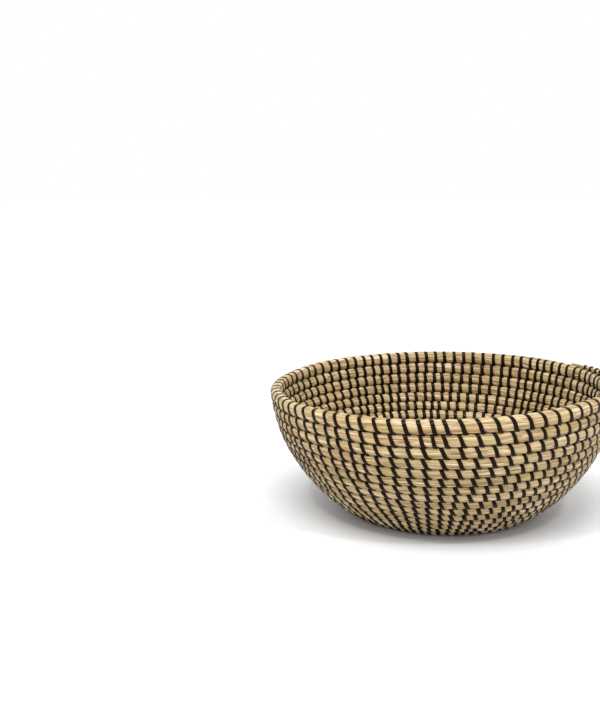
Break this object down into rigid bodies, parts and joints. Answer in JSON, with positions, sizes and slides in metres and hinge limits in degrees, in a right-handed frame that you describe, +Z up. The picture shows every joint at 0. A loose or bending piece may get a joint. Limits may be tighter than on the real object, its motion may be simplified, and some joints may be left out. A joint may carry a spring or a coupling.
{
  "type": "woven fruit basket",
  "caption": "Round open bowl basket of coiled dried grass, each turn sewn to the next with a glossy black strip; holds fruit.",
  "frame": {"origin": "centre of the flat base, on the surface that the basket stands on", "axes": "+Z up through the open mouth; the coil's tapered end lies on the rim 28 degrees from +X towards +Y"},
  "size_m": [0.2993, 0.2994, 0.1197],
  "materials": {
    "grass": "matte dried grass fibres",
    "sewing_strip": "glossy ridged black strip"
  },
  "bodies": {
    "root": {"centre_start": "grass", "course_01": "grass", "course_02": "grass", "course_03": "grass", "course_04": "grass", "course_05": "grass", "course_06": "grass", "course_07": "grass", "course_08": "grass", "course_09": "grass", "course_10": "grass", "course_11": "grass", "course_12": "grass", "course_13": "grass", "course_14": "grass", "course_15": "grass", "course_16": "grass", "course_17": "grass", "course_18": "grass", "course_19": "grass", "course_20": "grass", "course_21": "grass", "course_22": "grass", "rim_tail": "grass", "stitch_run_01": "sewing_strip", "stitch_run_02": "sewing_strip", "stitch_run_03": "sewing_strip", "stitch_run_04": "sewing_strip", "stitch_run_05": "sewing_strip", "stitch_run_06": "sewing_strip", "stitch_run_07": "sewing_strip", "stitch_run_08": "sewing_strip", "stitch_run_09": "sewing_strip", "stitch_run_10": "sewing_strip", "stitch_run_11": "sewing_strip", "stitch_run_12": "sewing_strip", "stitch_run_13": "sewing_strip", "stitch_run_14": "sewing_strip", "stitch_run_15": "sewing_strip", "stitch_run_16": "sewing_strip", "stitch_run_17": "sewing_strip", "stitch_run_18": "sewing_strip", "stitch_run_19": "sewing_strip", "stitch_run_20": "sewing_strip", "stitch_run_21": "sewing_strip", "stitch_run_22": "sewing_strip"}
  },
  "joints": []
}
